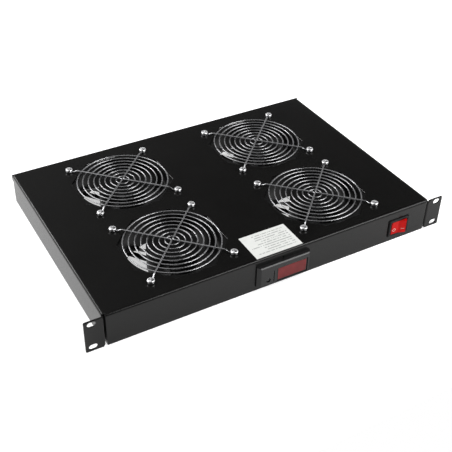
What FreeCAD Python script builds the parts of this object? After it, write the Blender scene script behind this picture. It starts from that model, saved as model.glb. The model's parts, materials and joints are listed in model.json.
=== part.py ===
import FreeCAD, Part
import math
import os

Vector = FreeCAD.Vector

# Rack fan tray, 1U high. Millimetres, +X right, +Y back, +Z up.
# The origin is the centre of the rack slot pattern, on the front face of the ears.

# Rack interface and folded sheet
ear_span = 482.6
ear_width = 21.3
slot_inset = 8.75
slot_pitch_z = 31.75
slot_length = 10.0
slot_width = 6.8
sheet = 1.5
fold_radius = 1.5
ear_fold_radius = 0.2
plate_top = 22.2
panel_height = 43.7
side_height = 40.5
ear_step = 1.2
ear_corner_radius = 1.5
seam_gap = 2.0
corner_relief = 3.6
return_depth = 10.0
rear_lip_height = 10.0
rear_overhang = 3.5
pilot_hole_radius = 1.2
pilot_hole_x = 4.1
pilot_hole_drop = 7.4

# Fan places: the plate's depth follows from the fans and the strips round them
fan_size = 120.0
fan_depth = 38.0
fan_hole_inset = 7.5
front_strip = 16.5
row_gap = 21.0
rear_strip = 22.5
centre_bay = 80.0
cutout_inset = 0.0

# Fan frame
fan_corner_cut = 3.5
fan_flange = 5.0
fan_rim = 2.5
barrel_wall = 2.5
strut_width = 6.0
strut_height = 4.0
strut_count = 4
strut_phase = 37.0
motor_base_radius = 30.0
motor_base_height = 4.0
bearing_tube_wall = 1.8
bearing_tube_height = 22.0

# Fan motor and impeller
shaft_radius = 2.0
shaft_running_gap = 0.04
seat_gap = 0.05
bearing_wall = 2.4
bearing_end_gap = 0.6
hub_radius = 31.0
hub_wall = 2.0
hub_base_gap = 1.5
hub_below_plate = 1.0
hub_boss_radius = 5.0
hub_boss_height = 5.0
blade_count = 5
blade_phase = 70.0
blade_tip_gap = 1.5
blade_root_chord = 33.0
blade_root_pitch = 48.0
blade_tip_chord = 62.0
blade_tip_pitch = 28.0
blade_thickness = 1.8
blade_middle_depth = 17.0
stator_air_gap = 0.8
stator_limb_width = 13.0
stator_lift = 7.0
stator_core_height = 14.0
coil_growth = 3.0
coil_length = 7.0

# Finger guard
ring_count = 8
ring_inner_radius = 8.3
ring_past_bore = 0.15
ring_wire = 1.6
leg_wire = 1.8
guard_rise = 2.8
leg_fold_radius = 3.0
leg_foot = 1.6
leg_step_run = 7.5

# Fan screws
screw_radius = 2.15
screw_clearance = 0.25
screw_head_radius = 4.5
screw_head_height = 3.3
screw_length = 10.0

# Sticker
sticker_width = 62.0
sticker_length = 42.0
sticker_thickness = 0.2
sticker_x = 1.0
sticker_front = 2.6

# Thermostat controller
controller_x = 3.85
controller_drop = 23.2
bezel_width = 72.1
bezel_height = 28.5
bezel_proud = 6.3
bezel_edge = 1.4
bezel_rim = 1.6
bezel_taper = 3.3
bezel_overlap = 1.5
panel_clearance = 0.25
case_depth = 55.0
case_wall = 1.8
case_front_wall = 3.0
window_width = 40.7
window_height = 18.5
window_offset_x = 9.9
window_offset_z = -2.0
window_thickness = 1.6
window_recess = 0.6
window_ledge = 1.5
window_gap = 0.8
groove_offset_x = -15.25
groove_width = 1.2
groove_height = 16.4
groove_depth = 0.9
display_width = 34.0
display_height = 14.0
display_gap = 0.3
board_setback = 7.0
board_thickness = 1.6
board_gap = 0.1
button_offset_x = -22.65
button_offset_z = -6.0
button_radius = 2.2
button_gap = 0.8
button_recess = 0.9
button_flange = 0.9
button_flange_height = 1.0
button_travel = 0.8
button_clear = 0.1
key_switch_size = 6.0
terminal_depth = 10.0
clip_width = 3.0
clip_height = 14.0
clip_length = 12.0

# Rocker switch
switch_fan_gap = 0.9
switch_drop = 24.0
switch_frame_width = 30.4
switch_frame_height = 23.6
switch_frame_proud = 2.0
switch_frame_edge = 0.8
switch_body_width = 26.4
switch_body_height = 20.6
switch_body_depth = 22.0
rocker_radius = 11.9
rocker_gap = 0.4
rocker_height = 17.8
rocker_side_gap = 0.25
rocker_pivot_depth = 3.0
rocker_middle_proud = 2.2
rocker_end_proud = 4.2
rocker_back = 3.5
rocker_throw = 22.0
rocker_well_depth = 11.0
trunnion_radius = 1.2
trunnion_length = 0.8
trunnion_gap = 0.05
trunnion_end_gap = 0.1
tab_width = 6.3
tab_thickness = 0.8
tab_length = 8.0
tab_pitch_x = 14.0
tab_pitch_z = 10.0

# Appliance inlet and its bracket
inlet_wall_gap = 16.0
inlet_flange_width = 31.0
inlet_flange_height = 23.6
inlet_flange_thickness = 1.5
inlet_body_width = 27.2
inlet_body_height = 19.6
inlet_body_depth = 28.0
socket_width = 24.0
socket_height = 16.2
socket_depth = 17.0
socket_corner = 4.0
pin_pitch = 14.0
pin_stagger = 2.0
pin_width = 4.0
pin_thickness = 2.0
pin_setback = 1.5
pin_tail = 8.0
pin_seat = 0.05
inlet_seat = 0.2
bracket_margin = 6.0
bracket_foot = 1.0

# Wiring and small parts
block_width = 24.0
block_length = 40.0
block_height = 14.0
block_slot = 1.0
block_slot_depth = 2.0
block_poles = 4
lead_size = 2.2
lead_bend = 4.0
lead_bay = 26.0
lead_turn = 12.0
lead_spread = 8.0
lead_corner_inset = 5.0
supply_spread = 12.0
supply_lift = 2.3
switched_x = 13.0
switched_pitch = 5.0
sensor_lead_x = 22.0
stud_radius = 2.0
stud_length = 12.0
stud_forward = 27.5
stud_seat = 0.05
lug_radius = 4.0
lug_thickness = 0.8
lug_tongue = 7.0
lug_overlap = 1.5
nut_width = 7.0
nut_thickness = 3.2
probe_radius = 2.5
probe_length = 24.0
probe_gap = 0.1
clip_block_width = 8.0
clip_wall = 2.0

# Roundness of what repeats: the most that a flat may lie off its circle
fit_sag = 0.05
facet_sag = 0.4
ring_sag = 1.4
fewest_facets = 6
head_facets = 8
lead_straight = 0.001
lead_facets = 3
blade_spans = 2
blade_facets = 3

# Places that follow from the sizes above
plate_width = ear_span - 2 * ear_width
slot_pitch_x = ear_span - 2 * slot_inset
plate_depth = front_strip + 2 * fan_size + row_gap + rear_strip
plate_under = plate_top - sheet
fold_outer = fold_radius + sheet
ear_fold_outer = ear_fold_radius + sheet
half_width = plate_width / 2
wall_inside = half_width - sheet
panel_half = wall_inside - seam_gap
panel_bottom = plate_top - panel_height
side_bottom = plate_top - side_height
side_rear = plate_depth - rear_overhang
lip_inside = plate_depth - sheet
fan_x = (centre_bay + fan_size) / 2
front_row_y = front_strip + fan_size / 2
rear_row_y = front_row_y + fan_size + row_gap
gap_y = front_row_y + (fan_size + row_gap) / 2
fan_bottom = plate_under - fan_depth
fan_hole_pitch = fan_size - 2 * fan_hole_inset
hole_half = fan_hole_pitch / 2
fan_bore_radius = fan_size / 2 - fan_rim
cutout_half = fan_size / 2 - cutout_inset
controller_z = plate_top - controller_drop
cutout_half_x = bezel_width / 2 - bezel_overlap
cutout_half_z = bezel_height / 2 - bezel_overlap
case_half_x = cutout_half_x - panel_clearance
case_half_z = cutout_half_z - panel_clearance
case_rear = sheet + case_depth
switch_x = centre_bay / 2 + fan_size + switch_fan_gap + switch_body_width / 2
switch_z = plate_top - switch_drop
switch_rear = switch_body_depth + tab_length
lower_pole_z = switch_z - tab_pitch_z / 2
upper_pole_z = switch_z + tab_pitch_z / 2
inlet_x = wall_inside - inlet_wall_gap
inlet_z = lower_pole_z + pin_stagger
inlet_front = lip_inside - inlet_body_depth
pin_front = inlet_front - pin_tail
FANS = {
    "front_left": (-fan_x, front_row_y),
    "front_right": (fan_x, front_row_y),
    "rear_left": (-fan_x, rear_row_y),
    "rear_right": (fan_x, rear_row_y),
}


def box(x0, x1, y0, y1, z0, z1):
    return Part.makeBox(x1 - x0, y1 - y0, z1 - z0, Vector(x0, y0, z0))


def panel_box(x, z, width, height, y0, y1):
    """A block centred on a point of the front or rear panel."""
    return box(x - width / 2, x + width / 2, y0, y1, z - height / 2, z + height / 2)


def extrude(points, direction):
    return Part.Face(Part.makePolygon(points + points[:1])).extrude(direction)


def cylinder(x, y, z0, z1, radius):
    return Part.makeCylinder(radius, z1 - z0, Vector(x, y, z0))


def facet_count(radius, sag):
    return max(fewest_facets, math.ceil(math.pi / math.acos(1 - sag / radius)))


def polygon_points(x, y, z, corner_radius, sides):
    points = []
    for i in range(sides):
        turn = 2 * math.pi * (i + 0.5) / sides
        points.append(Vector(x + corner_radius * math.cos(turn), y + corner_radius * math.sin(turn), z))
    return points


def polygon_prism(x, y, z0, z1, corner_radius, sides):
    return extrude(polygon_points(x, y, z0, corner_radius, sides), Vector(0, 0, z1 - z0))


def peg(x, y, z0, z1, radius, sag=facet_sag):
    """A repeated round post: its corners lie on the circle."""
    return polygon_prism(x, y, z0, z1, radius, facet_count(radius, sag))


def hole(x, y, z0, z1, radius, sag=facet_sag):
    """A repeated round hole: its flats touch the circle."""
    sides = facet_count(radius, sag)
    return polygon_prism(x, y, z0, z1, radius / math.cos(math.pi / sides), sides)


def fuse(shapes):
    return shapes[0].multiFuse(shapes[1:]).removeSplitter()


def lay_x(shape, x, y, z):
    """A shape built along Z at the origin, laid along X and moved to its place."""
    return shape.rotated(Vector(0, 0, 0), Vector(0, 1, 0), 90).translated(Vector(x, y, z))


def lay_y(shape, x, y, z):
    """A shape built along Z at the origin, laid along Y and moved to its place."""
    return shape.rotated(Vector(0, 0, 0), Vector(1, 0, 0), -90).translated(Vector(x, y, z))


def front_edges(shape, y):
    """The edges that lie in the plane at this depth."""
    return [edge for edge in shape.Edges if all(abs(v.Y - y) < 0.001 for v in edge.Vertexes)]


def mirror_x(shape):
    return shape.mirror(Vector(0, 0, 0), Vector(1, 0, 0))


def corners(pitch):
    half = pitch / 2
    return [(-half, half), (half, half), (half, -half), (-half, -half)]


# Chassis: one sheet, folded down at the front, sides and rear, and out again at the ears
def bend(strip, centre, axis):
    """A quarter bend: the end of a sheet, turned round the fold's axis."""
    return Part.Face(Part.makePolygon(strip + strip[:1])).revolve(centre, axis, 90)


def side_fold():
    """Right-hand top fold, from the plate down into the side wall."""
    centre_x = half_width - fold_outer
    centre_z = plate_top - fold_outer
    y0 = ear_fold_outer
    strip = [
        Vector(centre_x, corner_relief, plate_under),
        Vector(centre_x, corner_relief, plate_top),
        Vector(centre_x, side_rear, plate_top),
        Vector(centre_x, side_rear, plate_under),
    ]
    turned = bend(strip, Vector(centre_x, 0, centre_z), Vector(0, 1, 0))
    wall = box(wall_inside, half_width, y0, side_rear, side_bottom, centre_z)
    return [turned, wall]


def end_fold(y_plate, y_face, half_length, bottom):
    """A panel that hangs from the plate's front or rear edge, with its fold."""
    inwards = 1 if y_face < y_plate else -1
    strip = [
        Vector(-half_length, y_plate, plate_under),
        Vector(-half_length, y_plate, plate_top),
        Vector(half_length, y_plate, plate_top),
        Vector(half_length, y_plate, plate_under),
    ]
    axis_z = plate_top - fold_outer
    turned = bend(strip, Vector(0, y_plate, axis_z), Vector(inwards, 0, 0))
    y0 = min(y_face, y_face + inwards * sheet)
    hanging = box(-half_length, half_length, y0, y0 + sheet, bottom, axis_z)
    return [turned, hanging]


def ear_slot(z):
    """A rack slot, cut through the right-hand ear."""
    x = slot_pitch_x / 2
    radius = slot_width / 2
    reach = slot_length / 2 - radius
    cutters = [panel_box(x, z, 2 * reach, slot_width, -sheet, 2 * sheet)]
    for end in (-reach, reach):
        cutters.append(Part.makeCylinder(radius, 3 * sheet, Vector(x + end, -sheet, z), Vector(0, 1, 0)))
    return fuse(cutters)


def ear():
    """Right-hand rack ear, folded out from the side wall."""
    centre = Vector(half_width + ear_fold_radius, ear_fold_outer, 0)
    bottom = panel_bottom + ear_corner_radius
    top = plate_top - fold_outer
    strip = [
        Vector(wall_inside, ear_fold_outer, bottom),
        Vector(half_width, ear_fold_outer, bottom),
        Vector(half_width, ear_fold_outer, top),
        Vector(wall_inside, ear_fold_outer, top),
    ]
    turned = bend(strip, centre, Vector(0, 0, 1))
    flat = box(centre.x, ear_span / 2, 0, sheet, panel_bottom, plate_top - ear_step)
    outer = [edge for edge in flat.Edges if all(abs(v.X - ear_span / 2) < 0.001 for v in edge.Vertexes)]
    across = [edge for edge in outer if abs(edge.tangentAt(edge.FirstParameter).y) > 0.9]
    flat = flat.makeFillet(ear_corner_radius, across)
    for sign in (-1, 1):
        flat = flat.cut(ear_slot(sign * slot_pitch_z / 2))
    return [turned, flat]


def panel_return():
    """Right-hand end of the front panel, turned back behind the seam."""
    return box(panel_half - sheet, panel_half, sheet, return_depth, panel_bottom, plate_top - fold_outer)


def chassis():
    plate_half = half_width - fold_outer
    plate = box(-plate_half, plate_half, fold_outer, plate_depth - fold_outer, plate_under, plate_top)
    overhang = box(-half_width, half_width, side_rear, plate_depth - fold_outer, plate_under, plate_top)
    right = side_fold() + ear() + [panel_return()]
    left = [mirror_x(piece) for piece in right]
    front = end_fold(fold_outer, 0, panel_half, panel_bottom)
    rear = end_fold(plate_depth - fold_outer, plate_depth, half_width, plate_top - rear_lip_height)
    tray = fuse([plate, overhang] + right + left + front + rear)
    octagon_corner = cutout_half / math.cos(math.pi / 8)
    cutters = []
    for x, y in FANS.values():
        cutters.append(polygon_prism(x, y, plate_under - sheet, plate_top + sheet, octagon_corner, 8))
        for dx, dy in corners(fan_hole_pitch):
            radius = screw_radius + screw_clearance
            cutters.append(hole(x + dx, y + dy, plate_under - sheet, plate_top + sheet, radius))
    cutters.append(
        panel_box(controller_x, controller_z, 2 * cutout_half_x, 2 * cutout_half_z, -sheet, 2 * sheet)
    )
    switch_cut_width = switch_body_width + 2 * panel_clearance
    switch_cut_height = switch_body_height + 2 * panel_clearance
    cutters.append(panel_box(switch_x, switch_z, switch_cut_width, switch_cut_height, -sheet, 2 * sheet))
    pilot = hole(0, 0, -sheet, 2 * sheet, pilot_hole_radius)
    cutters.append(lay_y(pilot, pilot_hole_x, 0, plate_top - pilot_hole_drop))
    return tray.cut(Part.makeCompound(cutters))


# Fan, built about its own axis: the plate's underside is its top face
bearing_outer = shaft_radius + shaft_running_gap + bearing_wall
tube_bore = bearing_outer + seat_gap
tube_outer = tube_bore + bearing_tube_wall
tube_bottom = fan_bottom + motor_base_height
tube_top = tube_bottom + bearing_tube_height
hub_top = plate_under - hub_below_plate
hub_cavity_top = hub_top - hub_wall
hub_bottom = tube_bottom + hub_base_gap
hub_inner = hub_radius - hub_wall


def fan_frame():
    half = fan_size / 2
    cut = fan_corner_cut
    outline = []
    for sx, sy in ((1, 1), (-1, 1), (-1, -1), (1, -1)):
        ends = [(sx * half, sy * (half - cut)), (sx * (half - cut), sy * half)]
        outline += ends if sx * sy > 0 else ends[::-1]
    block = extrude([Vector(x, y, fan_bottom) for x, y in outline], Vector(0, 0, fan_depth))
    cutters = [hole(0, 0, fan_bottom - 1, plate_under + 1, fan_bore_radius, ring_sag)]
    # Between the flanges the corners are open, down to the flats of the barrel
    reach = (fan_bore_radius + barrel_wall) * math.sqrt(2)
    for sx, sy in ((1, 1), (-1, 1), (-1, -1), (1, -1)):
        pocket = [
            Vector(sx * (reach - half), sy * half, fan_bottom + fan_flange),
            Vector(sx * half, sy * half, fan_bottom + fan_flange),
            Vector(sx * half, sy * (reach - half), fan_bottom + fan_flange),
        ]
        cutters.append(extrude(pocket, Vector(0, 0, fan_depth - 2 * fan_flange)))
        radius = screw_radius + screw_clearance
        cutters.append(hole(sx * hole_half, sy * hole_half, fan_bottom - 1, plate_under + 1, radius))
    frame = block.cut(Part.makeCompound(cutters))
    struts = []
    for i in range(strut_count):
        strut = box(
            motor_base_radius / 2,
            fan_bore_radius + barrel_wall / 2,
            -strut_width / 2,
            strut_width / 2,
            fan_bottom,
            fan_bottom + strut_height,
        )
        turn = strut_phase + 360 * i / strut_count
        struts.append(strut.rotated(Vector(0, 0, 0), Vector(0, 0, 1), turn))
    base = peg(0, 0, fan_bottom, tube_bottom, motor_base_radius, ring_sag)
    tube = peg(0, 0, tube_bottom, tube_top, tube_outer)
    carrier = fuse([frame, base, tube] + struts)
    return carrier.cut(hole(0, 0, tube_bottom, tube_top + 1, tube_bore))


def sleeve_bearing():
    z0 = tube_bottom
    z1 = tube_top
    sleeve = peg(0, 0, z0, z1, bearing_outer)
    return sleeve.cut(hole(0, 0, z0 - 1, z1 + 1, shaft_radius + shaft_running_gap, fit_sag))


def motor_shaft():
    return cylinder(0, 0, tube_bottom + bearing_end_gap, hub_cavity_top, shaft_radius)


def stator():
    """Four-pole core on the bearing tube, with a coil on each limb."""
    reach = hub_inner - stator_air_gap
    z0 = tube_bottom + stator_lift
    z1 = z0 + stator_core_height
    half = stator_limb_width / 2
    limb_reach = math.sqrt(reach**2 - half**2)
    pieces = []
    for i in range(2):
        limb = box(-limb_reach, limb_reach, -half, half, z0, z1)
        pieces.append(limb.rotated(Vector(0, 0, 0), Vector(0, 0, 1), 90 * i))
    coil_end = limb_reach - coil_growth
    coil_half = half + coil_growth
    for i in range(4):
        coil = box(
            coil_end - coil_length, coil_end, -coil_half, coil_half, z0 - coil_growth, z1 + coil_growth
        )
        pieces.append(coil.rotated(Vector(0, 0, 0), Vector(0, 0, 1), 90 * i))
    return fuse(pieces).cut(hole(0, 0, z0 - 1, z1 + 1, tube_outer + seat_gap))


tip_radius = fan_bore_radius - blade_tip_gap
root_radius = hub_radius - hub_wall / 2


def blade_point(span, chordwise, side):
    """A point of a blade: outwards from 0 to 1, chordwise from -1 to 1, on its lower or upper face."""
    radius = root_radius + span * (tip_radius - root_radius)
    chord = blade_root_chord + span * (blade_tip_chord - blade_root_chord)
    pitch = math.radians(blade_root_pitch + span * (blade_tip_pitch - blade_root_pitch))
    along = chordwise * chord / 2
    across = side * blade_thickness / 2
    turn = (along * math.cos(pitch) - across * math.sin(pitch)) / radius
    lift = along * math.sin(pitch) + across * math.cos(pitch)
    return Vector(
        radius * math.cos(turn), radius * math.sin(turn), plate_under - blade_middle_depth + lift
    )


def blade_section(span):
    """The outline of a blade on one cylinder about the axis."""
    chordwise = [2 * i / blade_facets - 1 for i in range(blade_facets + 1)]
    lower = [blade_point(span, c, -1) for c in chordwise]
    upper = [blade_point(span, c, 1) for c in chordwise[::-1]]
    return lower + upper


def quad(a, b, c, d):
    """A twisted four-sided facet, as two flat ones."""
    return [Part.Face(Part.makePolygon([a, b, c, a])), Part.Face(Part.makePolygon([a, c, d, a]))]


def blade():
    """A twisted blade, from inside the hub's wall to its tip."""
    sections = [blade_section(i / blade_spans) for i in range(blade_spans + 1)]
    last = len(sections[0]) - 1
    faces = []
    for inner, outer in zip(sections, sections[1:]):
        for i in range(last + 1):
            j = (i + 1) % (last + 1)
            faces += quad(inner[i], inner[j], outer[j], outer[i])
    root = sections[0]
    tip = sections[-1]
    for i in range(blade_facets):
        faces += quad(root[i + 1], root[i], root[last - i], root[last - i - 1])
        faces += quad(tip[i], tip[i + 1], tip[last - i - 1], tip[last - i])
    return Part.makeSolid(Part.makeShell(faces))


def impeller():
    """Rotor cup with twisted blades, open below for the stator."""
    cup = peg(0, 0, hub_bottom, hub_top, hub_radius)
    cup = cup.cut(hole(0, 0, fan_bottom, hub_cavity_top, hub_inner))
    boss = peg(0, 0, hub_cavity_top - hub_boss_height, hub_cavity_top, hub_boss_radius)
    boss = boss.cut(hole(0, 0, fan_bottom, hub_cavity_top, shaft_radius + seat_gap))
    pieces = [cup, boss]
    for i in range(blade_count):
        turn = blade_phase + 360 * i / blade_count
        pieces.append(blade().rotated(Vector(0, 0, 0), Vector(0, 0, 1), turn))
    return fuse(pieces)


# Finger guard: rings welded under two leg wires, each leg ending in a loop under a screw
leg_bottom = plate_top + guard_rise
corner_reach = hole_half * math.sqrt(2)
loop_inner = screw_radius + screw_clearance
loop_outer = loop_inner + leg_wire
loop_start = corner_reach - (loop_inner + loop_outer) / 2
leg_step_end = loop_start - leg_foot
leg_step_start = leg_step_end - leg_step_run
ring_outer_radius = fan_bore_radius + ring_past_bore
ring_pitch = (ring_outer_radius - ring_inner_radius) / (ring_count - 1)


def wire_ring(radius, width, z0, z1):
    sides = facet_count(radius, ring_sag)
    mean = radius / math.sqrt(math.cos(math.pi / sides))
    outer = polygon_prism(0, 0, z0, z1, mean + width / 2, sides)
    return outer.cut(polygon_prism(0, 0, z0 - 1, z1 + 1, mean - width / 2, sides))


def leg_step():
    """The end of a leg along +X: down from the rings to the plate, and the screw loop."""
    s0 = leg_step_start
    s1 = leg_step_end
    s2 = loop_start
    low = plate_top
    half = leg_wire / 2
    side = [
        Vector(s0, -half, leg_bottom),
        Vector(s0, -half, leg_bottom + leg_wire),
        Vector(s0 + half, -half, leg_bottom + leg_wire),
        Vector(s1, -half, low + leg_wire),
        Vector(s2, -half, low + leg_wire),
        Vector(s2, -half, low),
        Vector(s1 - half, -half, low),
    ]
    step = extrude(side, Vector(0, leg_wire, 0))
    loop = wire_ring((loop_inner + loop_outer) / 2, leg_wire, low, low + leg_wire)
    return step.fuse(loop.translated(Vector(corner_reach, 0, 0)))


def leg_wire_pair():
    """One leg wire: two legs at right angles that meet in a small bend by the centre."""
    half = leg_wire / 2
    reach = leg_step_start
    diagonal = math.sqrt(0.5)
    bend = leg_fold_radius * diagonal
    nose = leg_fold_radius * (math.sqrt(2) - 1)
    middle = [
        Vector(-reach * diagonal, reach * diagonal, 0),
        Vector(-bend, bend, 0),
        Vector(-nose, 0, 0),
        Vector(-bend, -bend, 0),
        Vector(-reach * diagonal, -reach * diagonal, 0),
    ]
    side = Vector(half * diagonal, half * diagonal, 0)
    mirrored = Vector(half * diagonal, -half * diagonal, 0)
    offsets = [side, side, Vector(half, 0, 0), mirrored, mirrored]
    outline = [p + o for p, o in zip(middle, offsets)]
    outline += [p - o for p, o in zip(middle[::-1], offsets[::-1])]
    lifted = [p + Vector(0, 0, leg_bottom) for p in outline]
    pieces = [extrude(lifted, Vector(0, 0, leg_wire))]
    for turn in (135, 225):
        pieces.append(leg_step().rotated(Vector(0, 0, 0), Vector(0, 0, 1), turn))
    return fuse(pieces)


def finger_guard():
    wires = []
    for i in range(ring_count):
        radius = ring_inner_radius + i * ring_pitch
        wires.append(wire_ring(radius, ring_wire, leg_bottom - ring_wire, leg_bottom))
    wires.append(leg_wire_pair())
    wires.append(mirror_x(leg_wire_pair()))
    return Part.makeCompound(wires)


def guard_screw(x, y):
    """Pan-head screw, seated on its guard loop."""
    seat = plate_top + leg_wire
    top = seat + screw_head_height
    shank = peg(x, y, seat - screw_length, seat, screw_radius)
    head = polygon_prism(x, y, seat, top, screw_head_radius, head_facets)
    return fuse([shank, head])


def guard_screws():
    screws = []
    for x, y in FANS.values():
        for dx, dy in corners(fan_hole_pitch):
            screws.append(guard_screw(x + dx, y + dy))
    return Part.makeCompound(screws)


def rating_sticker():
    x0 = sticker_x - sticker_width / 2
    y0 = sticker_front
    return box(x0, x0 + sticker_width, y0, y0 + sticker_length, plate_top, plate_top + sticker_thickness)


# Thermostat controller, clipped into the front panel
bezel_face = -bezel_proud
case_front_inside = bezel_face + case_front_wall
window_x = controller_x + window_offset_x
window_z = controller_z + window_offset_z
window_back = bezel_face + window_recess + window_thickness
board_front = case_front_inside + board_setback
button_x = controller_x + button_offset_x
button_z = controller_z + button_offset_z
case_inside_x = case_half_x - case_wall
case_inside_z = case_half_z - case_wall


def button_rod(radius, y0, y1):
    """A round, coaxial with the set button."""
    return Part.makeCylinder(radius, y1 - y0, Vector(button_x, y0, button_z), Vector(0, 1, 0))


def controller_bezel():
    """Front of the case: a rim on the panel, ends that slope in, and broken upper and lower edges."""
    x0 = controller_x - bezel_width / 2
    x1 = controller_x + bezel_width / 2
    z0 = controller_z - bezel_height / 2
    z1 = controller_z + bezel_height / 2
    plan = [
        Vector(x0, 0, z0),
        Vector(x1, 0, z0),
        Vector(x1, -bezel_rim, z0),
        Vector(x1 - bezel_taper, bezel_face, z0),
        Vector(x0 + bezel_taper, bezel_face, z0),
        Vector(x0, -bezel_rim, z0),
    ]
    section = [
        Vector(x0, 0, z0),
        Vector(x0, 0, z1),
        Vector(x0, bezel_face + bezel_edge, z1),
        Vector(x0, bezel_face, z1 - bezel_edge),
        Vector(x0, bezel_face, z0 + bezel_edge),
        Vector(x0, bezel_face + bezel_edge, z0),
    ]
    return extrude(plan, Vector(0, 0, bezel_height)).common(extrude(section, Vector(bezel_width, 0, 0)))


def controller_case():
    x = controller_x
    z = controller_z
    bezel = controller_bezel()
    body = panel_box(x, z, 2 * case_half_x, 2 * case_half_z, 0, case_rear)
    inside = panel_box(x, z, 2 * case_inside_x, 2 * case_inside_z, case_front_inside, case_rear + 1)
    pocket_width = window_width + 2 * window_gap
    pocket_height = window_height + 2 * window_gap
    pocket = panel_box(window_x, window_z, pocket_width, pocket_height, bezel_face - 1, window_back)
    sight_width = window_width - 2 * window_ledge
    sight_height = window_height - 2 * window_ledge
    sight = panel_box(window_x, window_z, sight_width, sight_height, bezel_face, case_front_inside + 1)
    groove = panel_box(
        x + groove_offset_x, window_z, groove_width, groove_height, bezel_face - 1, bezel_face + groove_depth
    )
    button_hole = button_rod(button_radius + button_gap, bezel_face - 1, case_front_inside + 1)
    return fuse([bezel, body]).cut(Part.makeCompound([inside])).cut(
        Part.makeCompound([pocket.fuse(sight), groove, button_hole])
    )


def controller_window():
    return panel_box(
        window_x, window_z, window_width, window_height, bezel_face + window_recess, window_back
    )


def controller_display():
    y0 = window_back + display_gap
    return panel_box(window_x, window_z, display_width, display_height, y0, board_front)


def controller_button():
    """Set button: a cap with a flange that rests on the back of the case front."""
    flange_back = case_front_inside + button_flange_height
    cap = button_rod(button_radius, bezel_face + button_recess, flange_back)
    flange = polygon_prism(
        0, 0, case_front_inside, flange_back, button_radius + button_gap + button_flange, head_facets
    )
    return fuse([cap, lay_y(flange, button_x, 0, button_z)])


def controller_board():
    """Circuit board across the case, with the key switch behind the set button."""
    width = 2 * (case_inside_x - board_gap)
    height = 2 * (case_inside_z - board_gap)
    board = panel_box(
        controller_x, controller_z, width, height, board_front, board_front + board_thickness
    )
    key_front = case_front_inside + button_flange_height + button_travel + button_clear
    key = panel_box(button_x, button_z, key_switch_size, key_switch_size, key_front, board_front)
    return fuse([board, key])


def controller_terminals():
    width = 2 * (case_inside_x - board_gap)
    height = 2 * (case_inside_z - board_gap)
    return panel_box(controller_x, controller_z, width, height, case_rear - terminal_depth, case_rear)


def controller_clips():
    """Two spring clips that draw the bezel against the panel."""
    clips = []
    for sign in (-1, 1):
        x = controller_x + sign * (case_half_x + clip_width / 2)
        clips.append(panel_box(x, controller_z, clip_width, clip_height, sheet, sheet + clip_length))
    return Part.makeCompound(clips)


# Rocker switch, snapped into the front panel
def switch_housing():
    x = switch_x
    z = switch_z
    front = -switch_frame_proud
    frame = panel_box(x, z, switch_frame_width, switch_frame_height, front, 0)
    frame = frame.makeChamfer(switch_frame_edge, front_edges(frame, front))
    body = panel_box(x, z, switch_body_width, switch_body_height, 0, switch_body_depth)
    well_width = 2 * (rocker_radius + rocker_gap)
    well_height = rocker_height + 2 * rocker_side_gap
    well = panel_box(x, z, well_width, well_height, front - 1, rocker_well_depth)
    bore_half = rocker_height / 2 + trunnion_length + trunnion_end_gap
    bore_radius = trunnion_radius + trunnion_gap
    bore = hole(x, rocker_pivot_depth, z - bore_half, z + bore_half, bore_radius)
    return fuse([frame, body]).cut(well.fuse(bore))


def switch_rocker():
    """Rocker with two inclined faces, at rest with its left end pressed in."""
    z0 = switch_z - rocker_height / 2
    z1 = switch_z + rocker_height / 2
    back = rocker_pivot_depth + rocker_back
    outline = [
        Vector(switch_x - rocker_radius, back, z0),
        Vector(switch_x - rocker_radius, -rocker_end_proud, z0),
        Vector(switch_x, -rocker_middle_proud, z0),
        Vector(switch_x + rocker_radius, -rocker_end_proud, z0),
        Vector(switch_x + rocker_radius, back, z0),
    ]
    faces = extrude(outline, Vector(0, 0, rocker_height))
    key = faces.common(cylinder(switch_x, rocker_pivot_depth, z0, z1, rocker_radius))
    z0 -= trunnion_length
    z1 += trunnion_length
    rocker = fuse([key, peg(switch_x, rocker_pivot_depth, z0, z1, trunnion_radius)])
    pivot = Vector(switch_x, rocker_pivot_depth, 0)
    return rocker.rotated(pivot, Vector(0, 0, 1), -rocker_throw / 2)


def switch_terminals():
    tabs = []
    for dx, dz in corners(1):
        x = switch_x + dx * tab_pitch_x
        z = switch_z + dz * tab_pitch_z
        tabs.append(panel_box(x, z, tab_thickness, tab_width, switch_body_depth, switch_rear))
    return Part.makeCompound(tabs)


# Appliance inlet, snapped into a bracket behind the rear lip
PINS = (
    (inlet_x - pin_pitch / 2, inlet_z - pin_stagger),
    (inlet_x + pin_pitch / 2, inlet_z - pin_stagger),
    (inlet_x, inlet_z + pin_stagger),
)


def inlet_bracket():
    half = inlet_flange_width / 2
    bottom = inlet_z - inlet_flange_height / 2 - bracket_foot
    x0 = inlet_x - half - bracket_margin
    plate = box(x0, inlet_x + half, lip_inside - sheet, lip_inside, bottom, plate_top - fold_outer)
    cut_width = inlet_body_width + 2 * inlet_seat
    cut_height = inlet_body_height + 2 * inlet_seat
    opening = panel_box(inlet_x, inlet_z, cut_width, cut_height, lip_inside - 2 * sheet, plate_depth)
    return plate.cut(opening)


def pin_blades(y0, y1, clearance):
    blades = []
    for x, z in PINS:
        width = pin_thickness + 2 * clearance
        height = pin_width + 2 * clearance
        blades.append(panel_box(x, z, width, height, y0, y1))
    return Part.makeCompound(blades)


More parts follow.
